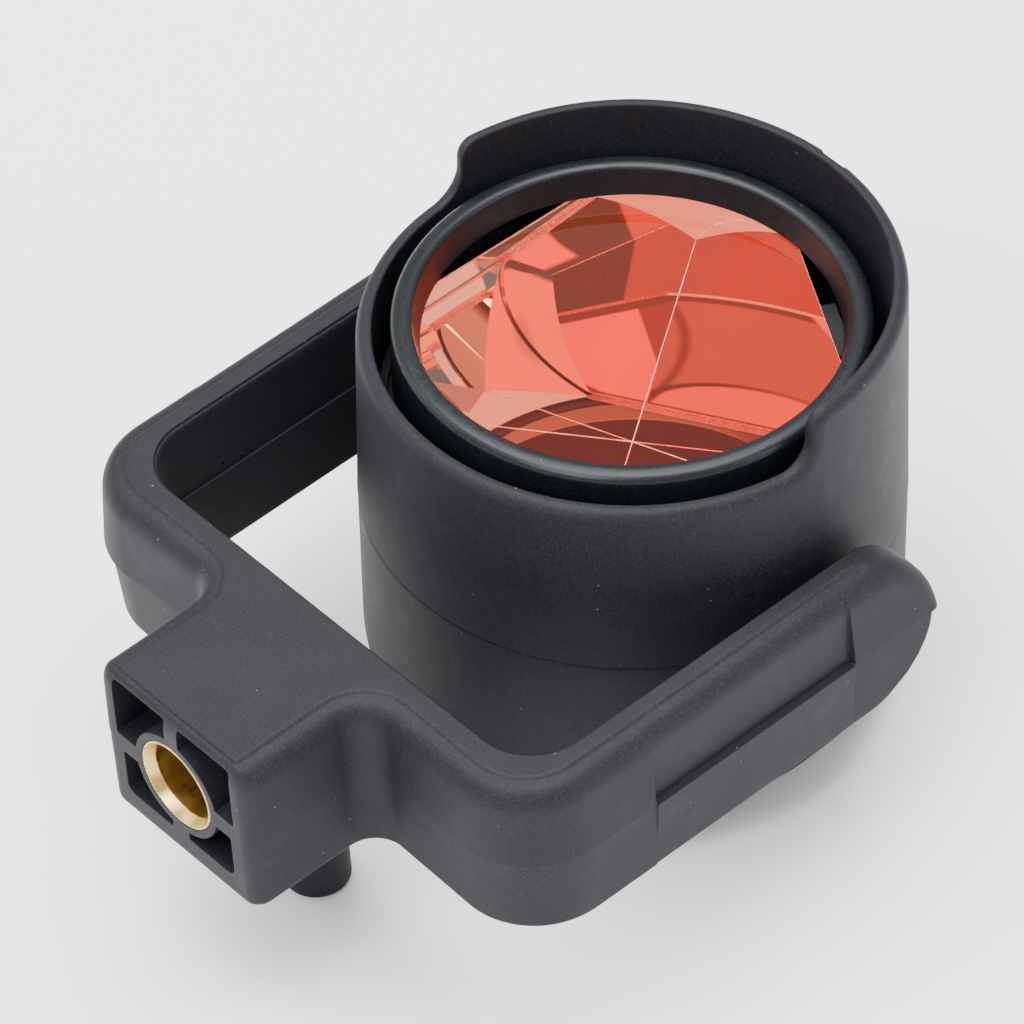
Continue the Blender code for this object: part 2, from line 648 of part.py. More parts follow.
def main():
    clear_scene()
    plastic = ((0.030, 0.031, 0.034), 0.62, 0.0)
    gloss = ((0.018, 0.018, 0.020), 0.28, 0.0)
    brass = ((0.78, 0.56, 0.25), 0.30, 1.0)
    steel = ((0.62, 0.62, 0.63), 0.32, 1.0)
    rubber = ((0.02, 0.02, 0.02), 0.85, 0.0)
    fibre = ((0.55, 0.50, 0.42), 0.80, 0.0)
    copper = ((0.90, 0.36, 0.22), 0.10, 0.6)
    make_yoke(plastic)
    make_socket_bush(brass)
    make_button(plastic)
    make_latch_plate(steel)
    make_latch_pin(steel)
    make_latch_spring(steel)
    make_button_guide(plastic)
    make_pivots(steel, brass, fibre)
    make_housing(plastic)
    make_back_cover(plastic)
    make_can(gloss)
    make_snap_ring(steel)
    make_front_ring(gloss)
    make_front_seal(rubber)
    make_prism(copper)
    make_prism_pads(rubber)


main()
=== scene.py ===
"""The looks of a tilting survey prism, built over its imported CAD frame.

Shapes are in millimetres about the tilt axis, as in the CAD: +Z is the way the prism looks, X is the tilt
axis and the stem points along -Y. `make` scales them and puts them in place. The yoke is level and the
housing leans back a little on the tilt axis.
"""

import math

import bmesh
import bpy
from mathutils import Matrix, Vector


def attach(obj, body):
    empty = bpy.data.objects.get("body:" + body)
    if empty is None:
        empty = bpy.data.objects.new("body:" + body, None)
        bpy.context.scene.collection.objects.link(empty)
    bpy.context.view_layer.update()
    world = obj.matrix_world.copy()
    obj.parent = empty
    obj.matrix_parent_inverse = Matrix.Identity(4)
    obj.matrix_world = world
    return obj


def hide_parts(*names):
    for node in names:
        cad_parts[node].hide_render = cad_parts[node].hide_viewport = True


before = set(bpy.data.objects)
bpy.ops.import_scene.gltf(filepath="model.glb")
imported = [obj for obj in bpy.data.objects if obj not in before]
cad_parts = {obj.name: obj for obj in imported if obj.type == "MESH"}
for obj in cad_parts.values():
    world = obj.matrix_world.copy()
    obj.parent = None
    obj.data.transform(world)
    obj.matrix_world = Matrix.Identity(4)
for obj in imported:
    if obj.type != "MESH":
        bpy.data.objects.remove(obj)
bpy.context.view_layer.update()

MM = 0.001
GLASS_IOR = 1.517
REAL_REFLECTIONS = 3.5  # a path in the prism is real up to its fourth mirror reflection
AXIS_Y, AXIS_Z, HOUSING_LEAN = 22.5, 36.55, -3.19
CAMERA_PLACE = Vector((635.66, -526.53, 842.05))  # from the tilt axis
CAMERA_RIGHT = Vector((0.66378, 0.74588, -0.0553))
CAMERA_UP = Vector((-0.51051, 0.50587, 0.69532))
CAMERA_AHEAD = Vector((-0.54659, 0.43332, -0.71657))
YOKE_FRAME = Matrix.Translation((0.0, AXIS_Y * MM, AXIS_Z * MM))
HOUSING_FRAME = YOKE_FRAME @ Matrix.Rotation(math.radians(HOUSING_LEAN), 4, "X")
ALONG_X = Matrix.Rotation(math.radians(90), 4, "Y")
ALONG_MINUS_X = Matrix.Rotation(math.radians(-90), 4, "Y")
ALONG_Y = Matrix.Rotation(math.radians(-90), 4, "X")


# ------------------------------------------------------------------ node helpers


class Nodes:
    """A short way to write a node tree."""

    def __init__(self, tree):
        self.tree = tree
        tree.nodes.clear()

    def add(self, kind, inputs=None, **settings):
        node = self.tree.nodes.new(kind)
        for name, value in settings.items():
            setattr(node, name, value)
        for name, value in (inputs or {}).items():
            socket = node.inputs[name]
            if isinstance(value, bpy.types.NodeSocket):
                self.tree.links.new(value, socket)
            else:
                socket.default_value = value
        return node

    def value(self, kind, a, b=None):
        inputs = {0: a} if b is None else {0: a, 1: b}
        return self.add("ShaderNodeMath", inputs, operation=kind).outputs[0]

    def remap(self, value, low, high, to_low, to_high):
        inputs = {"Value": value, "From Min": low, "From Max": high, "To Min": to_low, "To Max": to_high}
        return self.add("ShaderNodeMapRange", inputs).outputs["Result"]

    def mix(self, factor, a, b):
        node = self.add("ShaderNodeMix", {"Factor": factor}, data_type="RGBA")
        for index, item in ((6, a), (7, b)):
            if isinstance(item, bpy.types.NodeSocket):
                self.tree.links.new(item, node.inputs[index])
            else:
                node.inputs[index].default_value = (*item, 1.0)
        return node.outputs[2]

    def noise(self, coords, scale, detail=2.0, roughness=0.5):
        inputs = {"Vector": coords, "Scale": scale, "Detail": detail, "Roughness": roughness}
        return self.add("ShaderNodeTexNoise", inputs).outputs["Fac"]


def new_material(name):
    mat = bpy.data.materials.new(name)
    mat.use_nodes = True
    return mat, Nodes(mat.node_tree)


def millimetres(n):
    """Object coordinates, in millimetres."""
    coords = n.add("ShaderNodeTexCoord").outputs["Object"]
    return n.add("ShaderNodeMapping", {"Vector": coords, "Scale": (1000, 1000, 1000)}).outputs["Vector"]


def edge_normal(n, radius):
    return n.add("ShaderNodeBevel", {"Radius": radius * MM}, samples=4).outputs["Normal"]


def plastic(name, colour, rough, grain=0.5, edge=0.25, specks=1.0, specular=0.45):
    """Moulded plastic with a spark-eroded grain, faint mottling, rubbed patches and a few specks of dust."""
    mat, n = new_material(name)
    mm = millimetres(n)
    mottle = n.noise(mm, 0.09, 4.0, 0.6)
    fine = n.noise(mm, 3.2, 3.0, 0.62)
    coarse = n.noise(mm, 0.75, 2.0, 0.5)
    rubbed = n.remap(n.noise(mm, 0.16, 3.0, 0.7), 0.52, 0.72, 0.0, 1.0)
    tint = n.mix(n.remap(mottle, 0.3, 0.7, 0.0, 1.0), [c * 0.86 for c in colour], [c * 1.14 for c in colour])
    tint = n.mix(n.remap(fine, 0.48, 0.70, 0.0, 0.9), tint, [c * 2.9 for c in colour])
    cells = n.add("ShaderNodeTexVoronoi", {"Vector": mm, "Scale": 0.42, "Randomness": 1.0})
    cell_value = n.add("ShaderNodeSeparateColor", {0: cells.outputs["Color"]}).outputs[0]
    chosen = n.value("GREATER_THAN", cell_value, 0.78)
    dot = n.remap(cells.outputs["Distance"], 0.035, 0.075, 1.0, 0.0)
    dust = n.value("MULTIPLY", n.value("MULTIPLY", dot, chosen), 0.3 * specks)
    tint = n.mix(dust, tint, (0.34, 0.34, 0.33))
    roughness = n.remap(fine, 0.3, 0.7, rough - 0.05, rough + 0.06)
    roughness = n.value("ADD", roughness, n.value("MULTIPLY", rubbed, -0.06))
    height = n.value("ADD", fine, n.value("MULTIPLY", coarse, 0.45))
    height = n.value("ADD", height, n.value("MULTIPLY", dust, 1.5))
    bump = n.add("ShaderNodeBump", {"Height": height, "Strength": grain, "Distance": 0.06 * MM})
    n.tree.links.new(edge_normal(n, edge), bump.inputs["Normal"])
    inputs = {"Base Color": tint, "Roughness": roughness, "Specular IOR Level": specular}
    inputs["Normal"] = bump.outputs["Normal"]
    shader = n.add("ShaderNodeBsdfPrincipled", inputs)
    n.add("ShaderNodeOutputMaterial", {"Surface": shader.outputs["BSDF"]})
    return mat


def metal(name, colour, rough, rings_along=None):
    """Turned or stamped metal: fine scratches, uneven polish, and turning marks along one axis if asked."""
    mat, n = new_material(name)
    mm = millimetres(n)
    cloud = n.noise(mm, 0.35, 4.0, 0.6)
    fine = n.noise(mm, 5.0, 3.0, 0.6)
    darker, lighter = [c * 0.82 for c in colour], [min(1.0, c * 1.08) for c in colour]
    tint = n.mix(n.remap(cloud, 0.35, 0.68, 0.0, 1.0), darker, lighter)
    height = n.value("MULTIPLY", fine, 0.35)
    if rings_along is not None:
        wave = n.add(
            "ShaderNodeTexWave",
            {"Vector": mm, "Scale": 1.1, "Distortion": 0.35, "Detail": 2.0, "Detail Scale": 1.5},
            bands_direction=rings_along,
        )
        height = n.value("ADD", height, n.value("MULTIPLY", wave.outputs["Fac"], 0.8))
    bump = n.add("ShaderNodeBump", {"Height": height, "Strength": 0.3, "Distance": 0.02 * MM})
    n.tree.links.new(edge_normal(n, 0.12), bump.inputs["Normal"])
    roughness = n.remap(cloud, 0.3, 0.7, rough - 0.06, rough + 0.09)
    inputs = {"Base Color": tint, "Metallic": 1.0, "Roughness": roughness, "Normal": bump.outputs["Normal"]}
    shader = n.add("ShaderNodeBsdfPrincipled", inputs)
    n.add("ShaderNodeOutputMaterial", {"Surface": shader.outputs["BSDF"]})
    return mat


def deep_bounce(n, shader, glow):
    """The renderer cuts a path short after four mirror reflections, and it would end on black.

    It ends on `glow` instead, painted reflected light that `held_light` and `mirror` set by position and
    emit.
    """
    depth = n.add("ShaderNodeLightPath").outputs["Glossy Depth"]
    late = n.value("GREATER_THAN", depth, REAL_REFLECTIONS)
    ended = n.add("ShaderNodeEmission", {"Color": glow, "Strength": 1.0})
    mixed = n.add("ShaderNodeMixShader", {0: late, 1: shader, 2: ended.outputs["Emission"]})
    n.add("ShaderNodeOutputMaterial", {"Surface": mixed.outputs["Shader"]})


def slope(n, spot, a, b, c=0.0):
    """a x + b y + c, in millimetres on the object."""
    ax = n.value("MULTIPLY", spot.outputs["X"], a)
    return n.value("ADD", n.value("ADD", ax, n.value("MULTIPLY", spot.outputs["Y"], b)), c)


def reach(n, spot, x, y):
    """Distance from a line parallel to Z through (x, y)."""
    flat = n.add("ShaderNodeCombineXYZ", {"X": spot.outputs["X"], "Y": spot.outputs["Y"]}).outputs["Vector"]
    return n.add("ShaderNodeVectorMath", {0: flat, 1: (x, y, 0.0)}, operation="DISTANCE").outputs["Value"]


def line_at(n, value, half, soft):
    """1 where a value is near zero, fading out past `half`."""
    return n.remap(n.value("ABSOLUTE", value), half, half + soft, 1.0, 0.0)


def held_light(n, spot):
    """Painted stand-in for what the front face mirrors past the fourth reflection.

    These aren't real reflections. The lines, arcs and colours were read off a plot of the
    photograph's colours over the spots where the main view's rays meet their fifth reflection. So the prism
    looks right from the main camera because it was set to, and from other angles it is only plausible.
    """
    ellipse, rose, quadrilateral = (2.2, 0.6, 0.2), (1.15, 0.7, 0.8), (2.6, 0.4, 0.05)
    blue_shade, grey_shade, rim_grey = (0.14, 0.2, 0.3), (0.3, 0.35, 0.4), (0.42, 0.45, 0.5)
    dull_rose, far_left = (0.7, 0.4, 0.4), (2.6, 1.3, 0.9)
    split = slope(n, spot, 1.0, 0.4175, -11.44)
    chord_back = slope(n, spot, 0.488, 0.873)
    chord_front = slope(n, spot, 0.512, -0.859)
    lens = reach(n, spot, 5.8, -24.4)
    held = n.mix(n.remap(lens, 14.2, 15.0, 0.0, 1.0), ellipse, rose)
    arc_line = line_at(n, n.value("SUBTRACT", lens, 15.1), 0.35, 0.9)
    shade = n.value("MULTIPLY", arc_line, n.remap(spot.outputs["X"], -9.0, 4.0, 0.2, 0.85))
    held = n.mix(shade, held, blue_shade)
    bow = n.value("POWER", n.value("ABSOLUTE", n.value("SUBTRACT", spot.outputs["Y"], 4.0)), 2.0)
    bow = n.value("ADD", n.value("SUBTRACT", split, n.value("MULTIPLY", bow, 0.008)), 3.5)
    held = n.mix(n.value("MULTIPLY", line_at(n, bow, 0.3, 1.1), 0.75), held, grey_shade)
    beyond = n.remap(split, -0.05, 0.1, 0.0, 1.0)
    held = n.mix(beyond, held, dull_rose)
    bright = n.value("MULTIPLY", beyond, n.remap(slope(n, spot, 1.0, 0.19, -11.56), 0.0, 0.4, 0.0, 1.0))
    held = n.mix(bright, held, quadrilateral)
    edge_back, edge_front = (n.remap(chord, 24.6, 25.1, 0.0, 1.0) for chord in (chord_back, chord_front))
    edge = n.value("MAXIMUM", edge_back, edge_front)
    edge = n.value("MAXIMUM", edge, n.remap(reach(n, spot, 0.0, 0.0), 28.2, 29.0, 0.0, 1.0))
    held = n.mix(edge, held, rim_grey)
    return n.mix(n.remap(spot.outputs["X"], -20.4, -21.2, 0.0, 1.0), held, far_left)


def prism_glass(name):
    """Polished glass with a faint smear on it, and the painted stand-in for its deep reflections."""
    mat, n = new_material(name)
    mm = millimetres(n)
    smear = n.remap(n.noise(mm, 0.12, 3.0, 0.6), 0.55, 0.75, 0.0, 0.01)
    inputs = {"Base Color": (1.0, 1.0, 1.0, 1.0), "Roughness": smear}
    inputs |= {"IOR": GLASS_IOR, "Transmission Weight": 1.0}
    shader = n.add("ShaderNodeBsdfPrincipled", inputs)
    spot = n.add("ShaderNodeSeparateXYZ", {0: mm})
    total = n.remap(n.add("ShaderNodeFresnel", {"IOR": GLASS_IOR}).outputs["Fac"], 0.35, 0.9, 0.0, 1.0)
    # painted light: what a deep path would see outside once the front face lets it out, emitted as glow
    let_out = (2.2, 3.2, 4.4)
    deep_bounce(n, shader.outputs["BSDF"], n.mix(total, let_out, held_light(n, spot)))
    return mat


def mirror(name, colour):
    """The coating on polished glass, seen from inside, with its painted stand-in for deep reflections.

    As in `held_light`, the dark patch, the crescent and the colours were set for the main camera.
    """
    mat, n = new_material(name)
    mm = millimetres(n)
    cloud = n.noise(mm, 0.08, 3.0, 0.55)
    tint = n.mix(n.remap(cloud, 0.35, 0.65, 0.0, 1.0), [c * 0.97 for c in colour], colour)
    inputs = {"Base Color": tint, "Metallic": 1.0, "Roughness": n.remap(cloud, 0.3, 0.7, 0.004, 0.012)}
    shader = n.add("ShaderNodeBsdfPrincipled", inputs)
    spot = n.add("ShaderNodeSeparateXYZ", {0: mm})
    x, y = spot.outputs["X"], spot.outputs["Y"]
    near = n.remap(y, -0.3, 0.3, 0.0, 1.0)
    patch = n.value("MAXIMUM", slope(n, spot, 1.0, 0.42, -20.1), slope(n, spot, 1.0, -0.8, -20.1))
    crescent = n.remap(reach(n, spot, 15.0, 0.0), 11.7, 12.3, 0.0, 1.0)
    glow = n.mix(n.remap(x, -8.0, -2.0, 0.0, 1.0), (1.1, 0.4, 0.2), (1.0, 0.6, 0.6))
    glow = n.mix(near, (1.6, 0.5, 0.2), glow)
    glow = n.mix(n.remap(patch, -0.2, 0.2, 0.0, 1.0), glow, (0.3, 0.45, 0.65))
    below = n.value("MULTIPLY", crescent, n.remap(y, -0.9, -0.3, 1.0, 0.0))
    deep_bounce(n, shader.outputs["BSDF"], n.mix(below, glow, (2.8, 0.8, 0.2)))
    return mat


# ------------------------------------------------------------------ mesh helpers


def arc(centre, radius, start, end, steps):
    points = []
    for i in range(steps + 1):
        a = math.radians(start + (end - start) * i / steps)
        points.append((centre[0] + radius * math.cos(a), centre[1] + radius * math.sin(a)))
    return points


def rounded(corners, steps=5):
    """A closed outline from (x, y, radius) corners."""
    outline = []
    for i, (x, y, radius) in enumerate(corners):
        here = Vector((x, y))
        if radius <= 0:
            outline.append((x, y))
            continue
        before = (Vector(corners[i - 1][:2]) - here).normalized()
        after = (Vector(corners[(i + 1) % len(corners)][:2]) - here).normalized()
        half = 0.5 * math.acos(max(-1.0, min(1.0, before.dot(after))))
        tangent = radius / math.tan(half)
        centre = here + (before + after).normalized() * (radius / math.sin(half))
        start, end = here + before * tangent - centre, here + after * tangent - centre
        sweep = math.atan2(start.x * end.y - start.y * end.x, start.dot(end))
        for k in range(steps + 1):
            spoke = Matrix.Rotation(sweep * k / steps, 2) @ start
            outline.append((centre.x + spoke.x, centre.y + spoke.y))
    return outline


def bridge(bm, rings, closed):
    count = len(rings)
    for i in range(count if closed else count - 1):
        lower, upper = rings[i], rings[(i + 1) % count]
        size = max(len(lower), len(upper))
        if len(lower) == 1 and len(upper) == 1:
            continue
        for k in range(size):
            j = (k + 1) % size
            if len(lower) == 1:
                bm.faces.new((lower[0], upper[j], upper[k]))
            elif len(upper) == 1:
                bm.faces.new((lower[k], lower[j], upper[0]))
            else:
                bm.faces.new((lower[k], lower[j], upper[j], upper[k]))


def revolve(profile, segments, tooth=None):
    """A closed (radius, height) profile turned about Z. `tooth` is each segment's step at marked points."""
    bm = bmesh.new()
    rings = []
    for point in profile:
        radius, height = point[0], point[1]
        if radius < 1e-6:
            rings.append([bm.verts.new((0.0, 0.0, height))])
            continue
        ring = []
        for k in range(segments):
            a = 2.0 * math.pi * k / segments
            r = radius + (tooth[k % len(tooth)] if tooth and len(point) > 2 else 0.0)
            ring.append(bm.verts.new((r * math.cos(a), r * math.sin(a), height)))
        rings.append(ring)
    bridge(bm, rings, closed=True)
    return bm


def prismatic(outline, low, high):
    bm = bmesh.new()
    rings = [[bm.verts.new((x, y, z)) for x, y in outline] for z in (low, high)]
    bridge(bm, rings, closed=False)
    bm.faces.new(list(reversed(rings[0])))
    bm.faces.new(rings[1])
    return bm


def make(name, bm, mats, body, nodes=(), place=HOUSING_FRAME, matrix=None, sharp=32, cutters=()):
    """Turns a mesh in millimetres into a finished piece that rides on a body and stands for CAD nodes."""
    if matrix is not None:
        bm.transform(matrix)
    bmesh.ops.recalc_face_normals(bm, faces=bm.faces)
    bm.transform(Matrix.Scale(MM, 4))
    mesh = bpy.data.meshes.new(name)
    bm.to_mesh(mesh)
    bm.free()
    obj = bpy.data.objects.new(name, mesh)
    obj.matrix_world = place
    bpy.context.scene.collection.objects.link(obj)
    for mat in mats:
        mesh.materials.append(mat)
    if cutters:
        cut(obj, cutters)
        mesh = obj.data
    mesh.shade_smooth()
    mesh.set_sharp_from_angle(angle=math.radians(sharp))
    weighted = obj.modifiers.new("weighted", "WEIGHTED_NORMAL")
    weighted.keep_sharp = True
    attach(obj, body)
    if nodes:
        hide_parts(*nodes)
    return obj


def cut(obj, cutters):
    """Applies a Boolean for each (mesh, matrix, operation) and removes the cutter."""
    for i, (bm, matrix, operation) in enumerate(cutters):
        if matrix is not None:
            bm.transform(matrix)
        bmesh.ops.recalc_face_normals(bm, faces=bm.faces)
        bm.transform(Matrix.Scale(MM, 4))
        mesh = bpy.data.meshes.new(f"cutter_{i}")
        bm.to_mesh(mesh)
        bm.free()
        cutter = bpy.data.objects.new(f"cutter_{i}", mesh)
        cutter.matrix_world = obj.matrix_world
        bpy.context.scene.collection.objects.link(cutter)
        mod = obj.modifiers.new("cut", "BOOLEAN")
        mod.object = cutter
        mod.operation = operation
        mod.solver = "EXACT"
        bpy.context.view_layer.update()
        result = bpy.data.meshes.new_from_object(obj.evaluated_get(bpy.context.evaluated_depsgraph_get()))
        obj.modifiers.clear()
        obj.data = result
        bpy.data.objects.remove(cutter)


# ------------------------------------------------------------------ yoke


STEM_END_Y, HALF_DEPTH = -86.0, 13.75
BLOCK_HALF_W, BLOCK_CORNER_R, BLOCK_FILLET_R = 16.1, 2.7, 4.9
BAR_OUTER_Y, BAR_OUTER_CORNER_Y, BAR_INNER_Y = -63.9, -64.1, -56.6
ARM_OUTER_X, ARM_INNER_X = 48.7, 42.1
CORNER_OUTER_R, CORNER_INNER_R = 12.4, 8.3
PAD_FROM_Y, PAD_TO_Y, PAD_PROUD, CORNER_PROUD = -40.4, -3.0, 1.15, 0.9
CORNER_LOWER = {"right": (0.85, 0.2), "left": (0.2, -0.9)}
LEDGE, LEDGE_END_Y = 0.3, -16.0
BUTTON_Y = -63.4
# The rounding of the outer top edge runs into a shallow valley, and the flat stands a little over it.
TOP_EDGE = (
    (9.6, 0.0), (10.4, 0.05), (11.1, 0.2), (11.8, 0.47),
    (12.35, 0.82), (12.75, 1.2), (13.02, 1.6), (13.18, 2.0),
    (13.26, 2.4), (13.29, 2.75), (13.33, 3.0), (13.45, 3.18), (13.62, 3.34), (13.72, 3.6), (13.75, 4.0),
)  # fmt: skip
BOTTOM_EDGE = ((-12.6, 0.0), (-12.95, 0.05), (-13.25, 0.18), (-13.5, 0.4), (-13.68, 0.68), (-13.75, 1.05))


def edge_inset(z):
    table = list(reversed(BOTTOM_EDGE)) + list(TOP_EDGE)
    if z <= table[0][0]:
        return table[0][1]
    for (z0, e0), (z1, e1) in zip(table, table[1:]):
        if z <= z1:
            return e0 + (e1 - e0) * (z - z0) / (z1 - z0)
    return table[-1][1]


def proud(z, region, side):
    share = max(0.0, 1.0 - abs(z) / HALF_DEPTH)
    if region == "corner" and z > 0:
        return CORNER_PROUD * share
    if region == "corner":
        at_parting, at_edge = CORNER_LOWER[side]
        return at_edge + (at_parting - at_edge) * share
    return PAD_PROUD * share if (z > 0) == (region == "end") else 0.0


def arm_end(z, x_outer, x_inner):
    """The arm's round end at level z, with a rounding that grows towards the top."""
    points = []
    share = min(1.0, max(0.0, (z + 3.0) / 12.0))
    radius = 1.0 + 2.2 * share
    inset = edge_inset(z)
    for side, steps, r in (("outer", 12, radius), ("inner", 6, 0.8)):
        some = []
        for i in range(steps + 1):
            a = 0.5 * math.pi * i / steps
            extent = HALF_DEPTH - r * (1.0 - math.sin(a))
            step_in = r * (1.0 - math.cos(a))
            lowest = -0.6 + 0.05 * i
            if extent > abs(z) + 1e-6:
                y = math.sqrt(extent * extent - z * z)
            else:
                y = lowest
                step_in = 0.0 if side == "inner" else min(inset, step_in)
            some.append((step_in, max(y, lowest)))
        if side == "outer":
            floor = 0.0
            for step_in, y in some:
                floor = max(floor, inset, step_in)
                points.append((x_outer - floor, y))
        else:
            for step_in, y in reversed(some):
                points.append((x_inner + max(step_in, 0.25 * inset), y))
    return points


def half_outline(z, side):
    inset = edge_inset(z)
    end_inset = 0.45 * inset
    bulge = proud(z, "corner", side)
    grow = 0.25 * bulge
    half_w = BLOCK_HALF_W + grow - inset
    corner = max(BLOCK_CORNER_R - inset, 0.6)
    points = [(0.0, STEM_END_Y + end_inset)]
    points += arc((half_w - corner, STEM_END_Y + end_inset + corner), corner, -90, 0, 8)
    points += [(half_w, STEM_END_Y + 6.0), (half_w, STEM_END_Y + 12.0)]
    centre = (BLOCK_HALF_W + BLOCK_FILLET_R, BAR_OUTER_Y - BLOCK_FILLET_R)
    points += arc(centre, BLOCK_FILLET_R + inset - grow, 180, 92, 14)
    centre = (ARM_OUTER_X - CORNER_OUTER_R, BAR_OUTER_CORNER_Y + CORNER_OUTER_R)
    points += arc(centre, CORNER_OUTER_R - inset + bulge, -90, 0, 26)
    changes = ((PAD_FROM_Y - 0.12, "corner"), (PAD_FROM_Y, "pad"))
    changes += ((PAD_TO_Y, "pad"), (PAD_TO_Y + 0.12, "end"))
    for y, region in changes:
        points.append((ARM_OUTER_X - inset + proud(z, region, side), y))
    points += arm_end(z, ARM_OUTER_X + proud(z, "end", side), ARM_INNER_X)
    inner_inset = 0.25 * inset
    ledge = LEDGE if z < 0 else 0.0
    points.append((ARM_INNER_X + inner_inset, LEDGE_END_Y + 0.4))
    points.append((ARM_INNER_X + inner_inset - ledge, LEDGE_END_Y))
    centre = (ARM_INNER_X - CORNER_INNER_R, BAR_INNER_Y + CORNER_INNER_R)
    points += arc(centre, CORNER_INNER_R + inner_inset - ledge, 0, -90, 18)
    points.append((0.0, BAR_INNER_Y - inner_inset + ledge))
    return points


def yoke_body():
    mid = [-10.5, -8.4, -6.3, -4.2, -2.1, -0.05, 0.05, 2.0, 4.0, 6.0, 8.0]
    levels = sorted([z for z, _ in TOP_EDGE] + [z for z, _ in BOTTOM_EDGE] + mid)
    bm = bmesh.new()
    rings = []
    for z in levels:
        left = half_outline(z, "left")[1:-1]
        whole = half_outline(z, "right") + [(-x, y) for x, y in reversed(left)]
        rings.append([bm.verts.new((x, y, z)) for x, y in whole])
    bridge(bm, rings, closed=False)
    bm.faces.new(list(reversed(rings[0])))
    bm.faces.new(rings[-1])
    return bm


def pocket_cutters():
    """The four cored pockets round the socket boss, seen along the stem as (x, z)."""
    boss, half = 8.6, 1.4
    swap = Matrix(((1, 0, 0, 0), (0, 0, 1, 0), (0, 1, 0, 0), (0, 0, 0, 1)))
    turn = Matrix.Translation((0, STEM_END_Y - 2.0, 0)) @ swap
    cutters = []
    for sx in (-1, 1):
        for top in (True, False):
            wide, far = (12.6, 12.3) if top else (11.6, 9.8)
            start = math.degrees(math.asin((half if top else half + 0.35) / boss))
            ring = arc((0.0, 0.0), boss, 90 - start, start, 16)
            corners = [(wide, ring[-1][1], 0.5), (wide, far, 0.9 if top else 1.6), (ring[0][0], far, 0.5)]
            outline = rounded(corners + [(x, y, 0.0) for x, y in ring])
            sz = 1 if top else -1
            cutters.append((prismatic([(sx * x, sz * y) for x, y in outline], 0.0, 16.0), turn, "DIFFERENCE"))
    return cutters


def build_yoke(mat):
    seat = 7.37
    profile = [(0, -89), (seat, -89), (seat, -67.85), (6.2, -67.85), (6.2, -58.6), (0, -58.6)]
    cutters = pocket_cutters() + [(revolve(profile, 96), ALONG_Y, "DIFFERENCE")]
    at = Matrix.Translation((0, BUTTON_Y, 0))
    profile = [(0, -20), (6.7, -20), (6.7, -10.6), (5.3, -10.6), (5.3, -9.2), (2.3, -9.2)]
    profile += [(2.3, 11.3), (0, 11.3)]
    cutters.append((revolve(profile, 64), at, "DIFFERENCE"))
    slot = [(x, BUTTON_Y + y) for x, y in ((-7.8, -1.5), (7.8, -1.5), (7.8, 1.5), (-7.8, 1.5))]
    cutters.append((prismatic(slot, -20.0, 9.5), None, "DIFFERENCE"))
    for turn in (ALONG_X, ALONG_MINUS_X):
        cutters.append((revolve([(0, 39.0), (3.5, 39.0), (3.5, 47.5), (0, 47.5)], 48), turn, "DIFFERENCE"))
    make("yoke_moulding", yoke_body(), [mat], "yoke", ["yoke"], YOKE_FRAME, cutters=cutters)


def build_ejector_marks(mat):
    """Two small round dimples' rims left by the mould on the inner face of the left arm."""
    for i, (y, z) in enumerate(((-41.6, 2.0), (-38.1, 0.8))):
        profile = [(0, 0.0), (0.28, 0.0), (0.36, 0.05), (0.48, 0.12)]
        profile += [(0.6, 0.1), (0.68, 0.0), (0.7, -0.25), (0, -0.25)]
        turn = Matrix.Translation((-ARM_INNER_X, y, z)) @ ALONG_X
        mark = revolve(profile, 28)
        make(f"ejector_mark_{i + 1}", mark, [mat], "yoke", (), YOKE_FRAME, turn)


# ------------------------------------------------------------------ socket, button


def build_bush(mat):
    mouth, back, bore = STEM_END_Y, STEM_END_Y + 18.0, 6.05
    profile = [(6.98, mouth - 0.02), (7.06, mouth, 1), (7.16, mouth + 0.12, 1)]
    profile += [(7.16, back - 0.3, 1), (7.1, back)]
    profile += [(bore, back), (bore, mouth + 1.55), (bore + 0.06, mouth + 1.4)]
    tooth = (0.0, 0.1, 0.16, 0.1)
    bush = revolve(profile, 288, tooth)
    make("knurled_bush", bush, [mat], "yoke", ["socket_bush"], YOKE_FRAME, ALONG_Y)


def build_button(mat):
    profile = [(0, -36.45)] + arc((4.0, -35.45), 1.0, -90, 0, 8)
    profile += [(5.0, -11.6), (4.6, -11.2), (0, -11.2)]
    at = Matrix.Translation((0, BUTTON_Y, 0))
    button = revolve(profile, 96)
    make("push_button", button, [mat], "latch", ["release_button"], YOKE_FRAME, at)
    profile = [(5.2, -21.5), (5.6, -22), (6.0, -22), (6.4, -21.8), (6.6, -21.4), (6.6, -10.75), (5.2, -10.75)]
    sleeve = revolve(profile, 96)
    make("guide_sleeve", sleeve, [mat], "yoke", ["button_guide"], YOKE_FRAME, at)


# ------------------------------------------------------------------ housing


SEAM_R, RIM_LOW, RIM_HIGH, RIM_INNER_R = 39.6, 29.3, 38.5, 36.8
HOOD_END_Y, HOOD_TOP_R, HOOD_FOOT_R, HOOD_TURN = -0.3, 2.9, 4.6, -1.36
HOOD_TOP_FROM_Y = 1.68  # where the columns under the hood's upper rounding start
BACK_Z = -34.7
EDGE_DROP = 1.9  # how far down the wall the rim's rounded outer edge reaches
BACK_EDGE = (  # from the flat back up to the wall, as (radius, height)
    (33.5, -34.7), (33.9, -34.66), (34.3, -34.45), (34.9, -33.7), (35.6, -32.6), (36.3, -31.6), (36.9, -30.7),
    (37.5, -29.8), (38.1, -28.9), (38.55, -28.2), (38.9, -27.7),
    (39.12, -27.25), (39.27, -26.7), (39.36, -26.0),
)  # fmt: skip


def wall_radius(z):
    return SEAM_R - 0.0155 * z if z >= 0 else SEAM_R + 0.007 * z


